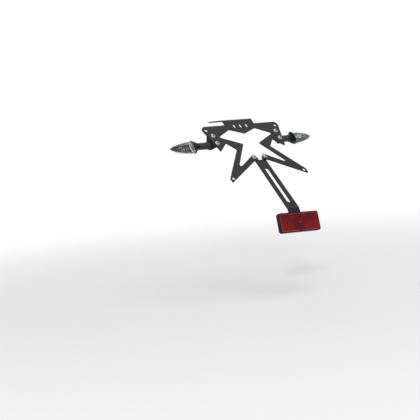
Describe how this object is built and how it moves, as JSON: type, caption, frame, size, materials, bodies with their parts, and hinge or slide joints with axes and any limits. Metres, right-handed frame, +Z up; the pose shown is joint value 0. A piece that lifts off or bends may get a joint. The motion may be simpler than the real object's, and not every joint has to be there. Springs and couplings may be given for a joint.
{
  "type": "tail tidy",
  "caption": "Star shaped sheet metal number plate carrier with short indicators and a red reflector on a slotted drop arm, bolted under a motorbike's tail.",
  "frame": {"origin": "centre of the four mounting slots, on the top face of the flange that meets the tail", "axes": "+X to the bike's right, +Y forward, +Z up along the mounting bolts"},
  "size_m": [0.326, 0.2129, 0.2057],
  "materials": {
    "sheet_black": "satin",
    "bracket_black": "satin",
    "zinc_steel": "satin",
    "stalk_rubber": "satin",
    "lamp_black": "gloss",
    "bowl_silver": "gloss",
    "board_green": "matte",
    "led_amber": "gloss",
    "lens_clear": "gloss",
    "case_black": "satin",
    "lens_red": "gloss"
  },
  "bodies": {
    "root": {"plate_carrier": "sheet_black", "ear_bolts": "zinc_steel", "ear_nuts": "zinc_steel", "bracket_left": "bracket_black", "bracket_right": "bracket_black", "stem_left": "zinc_steel", "stem_right": "zinc_steel", "stem_washer_left": "zinc_steel", "stem_washer_right": "zinc_steel", "stem_nut_left": "zinc_steel", "stem_nut_right": "zinc_steel", "stalk_left": "stalk_rubber", "stalk_right": "stalk_rubber", "lamp_body_left": "lamp_black", "lamp_body_right": "lamp_black", "lamp_bowl_left": "bowl_silver", "lamp_bowl_right": "bowl_silver", "led_board_left": "board_green", "led_board_right": "board_green", "leds_left": "led_amber", "leds_right": "led_amber", "lamp_lens_left": "lens_clear", "lamp_lens_right": "lens_clear", "lens_screw_left": "zinc_steel", "lens_screw_right": "zinc_steel", "drop_arm": "sheet_black", "arm_bolts": "zinc_steel", "arm_nuts": "zinc_steel", "reflector_housing": "case_black", "reflector_lens": "lens_red", "reflector_stud": "zinc_steel", "reflector_washer": "zinc_steel", "reflector_nut": "zinc_steel"}
  },
  "joints": []
}
